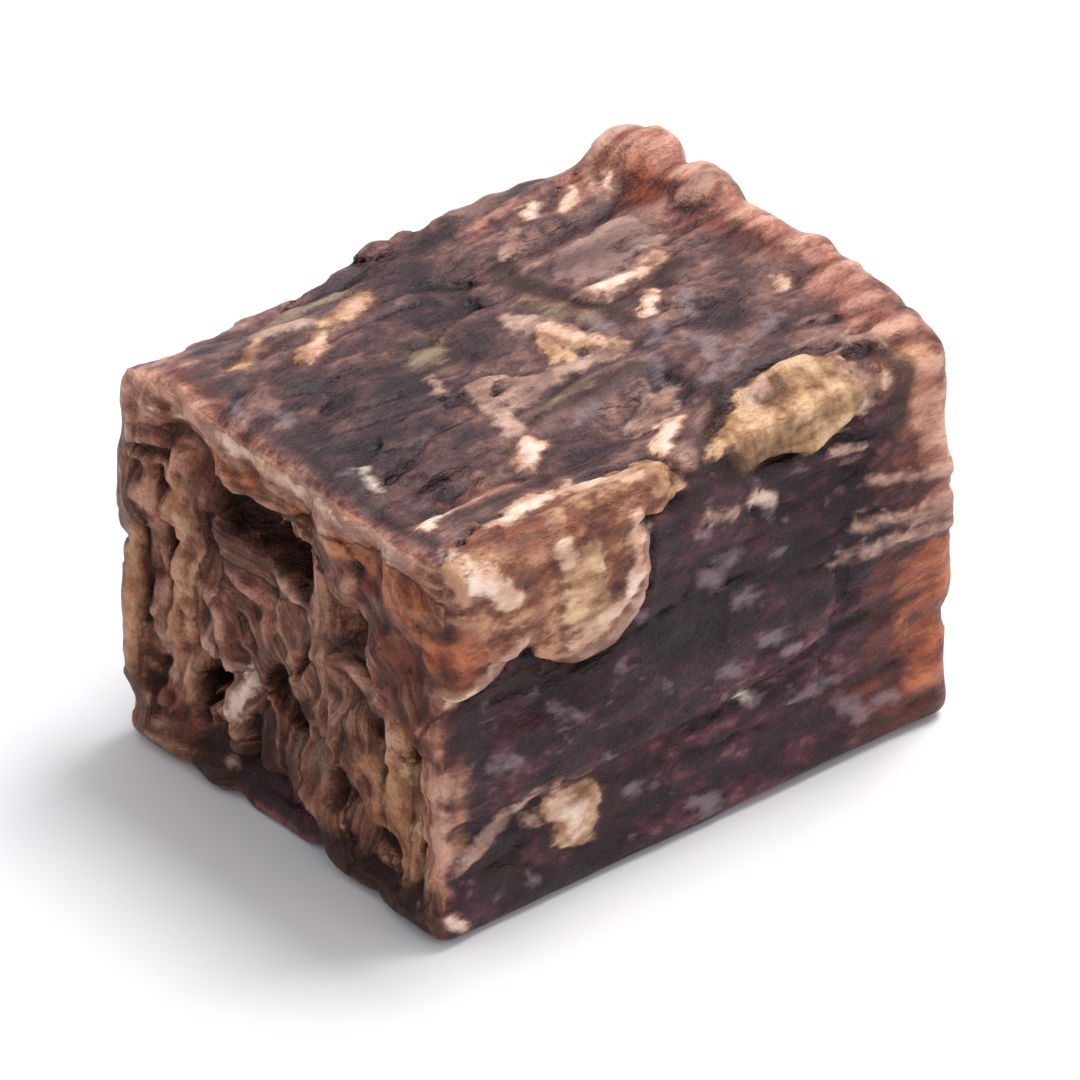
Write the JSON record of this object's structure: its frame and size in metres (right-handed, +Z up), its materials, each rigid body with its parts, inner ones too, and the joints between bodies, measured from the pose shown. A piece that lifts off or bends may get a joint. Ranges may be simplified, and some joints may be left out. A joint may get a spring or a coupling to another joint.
{
  "type": "beef cube",
  "caption": "Small block of dried pressed beef: four pressed faces along the grain, and two crumbly cut ends with hollows.",
  "frame": {"origin": "under the middle of the cube, on the face it rests on", "axes": "+Z up; +X along the grain, from the cut with the overhanging rim to the other cut; +Y from the side with the folded lip to the back"},
  "size_m": [0.0178, 0.0138, 0.0123],
  "materials": {
    "dried_beef": "satin"
  },
  "bodies": {
    "root": {"beef_cube": "dried_beef"}
  },
  "joints": []
}
